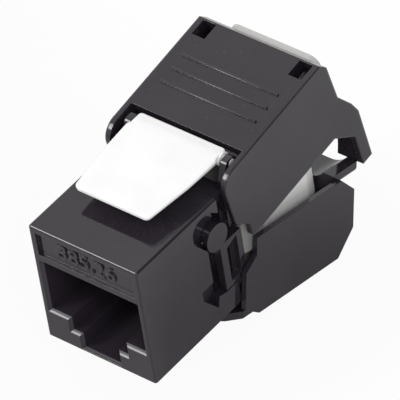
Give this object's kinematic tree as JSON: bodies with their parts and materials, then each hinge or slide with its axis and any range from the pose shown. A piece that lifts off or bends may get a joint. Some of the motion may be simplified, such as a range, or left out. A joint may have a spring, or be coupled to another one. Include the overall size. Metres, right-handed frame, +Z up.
{
  "type": "keystone network jack",
  "caption": "Tool-less keystone network jack: black housing with a stepped plug port, white release latch, and two hinged jaws that close over a white wire block.",
  "frame": {"origin": "middle of the front face's bottom edge, where the housing meets the panel's opening", "axes": "+X across the width, +Y from the front face to the rear cable end, +Z up, towards the release latch"},
  "size_m": [0.0162, 0.0373, 0.0265],
  "materials": {
    "black_abs": "gloss, moulded",
    "white_abs": "satin gloss, moulded",
    "gold_contact": "gold flash on bronze",
    "tinned_blade": "tinned",
    "board": "solder mask"
  },
  "bodies": {
    "housing": {"front_housing": "black_abs", "contact_insert": "black_abs", "spring_contact_1": "gold_contact", "spring_contact_2": "gold_contact", "spring_contact_3": "gold_contact", "spring_contact_4": "gold_contact", "spring_contact_5": "gold_contact", "spring_contact_6": "gold_contact", "spring_contact_7": "gold_contact", "spring_contact_8": "gold_contact", "circuit_board": "board", "rear_frame": "black_abs", "wire_block": "white_abs", "upper_blade_1": "tinned_blade", "upper_blade_2": "tinned_blade", "upper_blade_3": "tinned_blade", "upper_blade_4": "tinned_blade", "lower_blade_1": "tinned_blade", "lower_blade_2": "tinned_blade", "lower_blade_3": "tinned_blade", "lower_blade_4": "tinned_blade"},
    "latch": {"release_latch": "white_abs"},
    "upper_jaw": {"upper_jaw": "black_abs", "upper_wire_guide": "white_abs"},
    "lower_jaw": {"lower_jaw": "black_abs", "lower_wire_guide": "white_abs"}
  },
  "joints": [
    {"name": "latch_press", "type": "hinge", "parent": "housing", "child": "latch", "pos_m": [0, 0.01705, 0.01767], "axis": [1, 0, 0], "range_deg": [0, 7], "stiffness_Nm_per_rad": 0.02, "springref_deg": -5.73},
    {"name": "upper_jaw_hinge", "type": "hinge", "parent": "housing", "child": "upper_jaw", "pos_m": [0, 0.0175, 0.0076], "axis": [1, 0, 0], "range_deg": [-9.2, 1]},
    {"name": "lower_jaw_hinge", "type": "hinge", "parent": "housing", "child": "lower_jaw", "pos_m": [0, 0.0175, 0.0076], "axis": [1, 0, 0], "range_deg": [-8.5, 12.4]}
  ]
}
